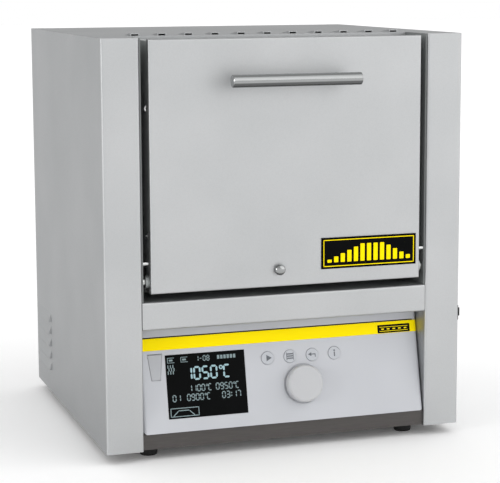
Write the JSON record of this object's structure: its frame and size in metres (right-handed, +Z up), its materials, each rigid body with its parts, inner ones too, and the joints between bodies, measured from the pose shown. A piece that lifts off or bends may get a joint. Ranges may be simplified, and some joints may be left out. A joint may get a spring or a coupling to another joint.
{
  "type": "box furnace",
  "caption": "Compact bench box furnace with a fold-down flap door, bar handle, louvred casing and sloping control panel with display, keys and jog dial.",
  "frame": {"origin": "on the bench, under the middle of the furnace's outline from handle to exhaust stub", "axes": "+X to the right as seen from the front, +Y from the door to the back, +Z up; the door faces -Y"},
  "size_m": [0.3899, 0.405, 0.4244],
  "materials": {
    "textured_stainless": "fine textured stainless steel, satin",
    "dark_sheet": "dark grey powder coat, matt",
    "bare_steel": "plain zinc-plated steel",
    "bright_steel": "turned steel, smooth satin",
    "ceramic_fibre": "white fibre board, matt",
    "seal_fibre": "woven fibre strip",
    "heater_ceramic": "cast refractory, matt",
    "tube_ceramic": "smooth technical ceramic",
    "lead_metal": "bare metal",
    "black_plastic": "moulded, matt",
    "foot_rubber": "matt",
    "panel_plastic": "moulded, fine satin",
    "dial_plastic": "satin",
    "key_plastic": "satin",
    "accent_yellow": "printed film, semi-gloss",
    "display_black": "gloss",
    "electronics": "printed circuit board and components",
    "plate_black": "printed, semi-gloss"
  },
  "bodies": {
    "furnace": {"left_side_panel": "textured_stainless", "right_side_panel": "textured_stainless", "roof_panel": "textured_stainless", "rear_panel": "textured_stainless", "base_tray": "dark_sheet", "front_crossbar": "textured_stainless", "door_surround": "dark_sheet", "chamber_deck": "bare_steel", "inner_casing": "bare_steel", "insulation_floor": "ceramic_fibre", "insulation_roof": "ceramic_fibre", "insulation_sides": "ceramic_fibre", "insulation_rear": "ceramic_fibre", "insulation_collar": "ceramic_fibre", "heating_plate_left": "heater_ceramic", "heating_plate_right": "heater_ceramic", "chamber_floor_tile": "heater_ceramic", "thermocouple": "tube_ceramic", "exhaust_tube": "tube_ceramic", "exhaust_outlet": "bright_steel", "heater_leads": "lead_metal", "terminal_blocks": "tube_ceramic", "solid_state_relay": "bare_steel", "mains_inlet": "black_plastic", "fuse_holders": "black_plastic", "rear_panel_screws": "bright_steel", "feet": "foot_rubber", "control_panel_housing": "panel_plastic", "accent_stripe": "accent_yellow", "display_window": "display_black", "display_module": "electronics", "control_board": "electronics", "key_switches": "electronics", "encoder_body": "electronics", "usb_socket": "bright_steel", "power_switch_body": "black_plastic", "hinge_pins": "bare_steel", "door_stop_pins": "bare_steel"},
    "door": {"door_cover": "textured_stainless", "door_frame": "dark_sheet", "door_back_plate": "dark_sheet", "door_insulation": "ceramic_fibre", "door_plug": "ceramic_fibre", "door_seal": "seal_fibre", "handle_bar": "bright_steel", "handle_posts": "bright_steel", "name_plate": "plate_black", "hinge_arms": "bare_steel", "door_frame_screws": "bright_steel", "air_inlet_tube": "tube_ceramic"},
    "air_control": {"air_knob": "bright_steel", "air_shutter": "bright_steel"},
    "start_key": {"key_start": "key_plastic"},
    "menu_key": {"key_menu": "key_plastic"},
    "back_key": {"key_back": "key_plastic"},
    "info_key": {"key_info": "key_plastic"},
    "dial_plunger": {"dial_push_sleeve": "electronics"},
    "dial": {"jog_dial": "dial_plastic"},
    "rocker": {"power_rocker": "black_plastic"},
    "socket_flap": {"usb_flap": "panel_plastic"}
  },
  "joints": [
    {"name": "door_hinge", "type": "hinge", "parent": "furnace", "child": "door", "pos_m": [0, -0.1575, 0.18148], "axis": [1, 0, 0], "range_deg": [0, 90]},
    {"name": "air_inlet_turn", "type": "hinge", "parent": "door", "child": "air_control", "pos_m": [-0.01, -0.1568, 0.18798], "axis": [0, 1, 0], "range_deg": [0, 90]},
    {"name": "start_key_press", "type": "slide", "parent": "furnace", "child": "start_key", "axis": [0, 0.975, -0.2222], "range_m": [0, 0.0008], "stiffness_N_per_m": 400},
    {"name": "menu_key_press", "type": "slide", "parent": "furnace", "child": "menu_key", "axis": [0, 0.975, -0.2222], "range_m": [0, 0.0008], "stiffness_N_per_m": 400},
    {"name": "back_key_press", "type": "slide", "parent": "furnace", "child": "back_key", "axis": [0, 0.975, -0.2222], "range_m": [0, 0.0008], "stiffness_N_per_m": 400},
    {"name": "info_key_press", "type": "slide", "parent": "furnace", "child": "info_key", "axis": [0, 0.975, -0.2222], "range_m": [0, 0.0008], "stiffness_N_per_m": 400},
    {"name": "dial_press", "type": "slide", "parent": "furnace", "child": "dial_plunger", "axis": [0, 0.975, -0.2222], "range_m": [0, 0.0008], "stiffness_N_per_m": 600},
    {"name": "dial_turn", "type": "hinge", "parent": "dial_plunger", "child": "dial", "pos_m": [0.0198, -0.15801, 0.06495], "axis": [0, -0.975, 0.2222], "continuous": true},
    {"name": "rocker_tip", "type": "hinge", "parent": "furnace", "child": "rocker", "pos_m": [0.1905, -0.1515, 0.129], "axis": [0, 0, 1], "range_deg": [0, 18]},
    {"name": "flap_swing", "type": "hinge", "parent": "furnace", "child": "socket_flap", "pos_m": [-0.13545, -0.14804, 0.10329], "axis": [-1, 0, 0], "range_deg": [0, 95]}
  ]
}
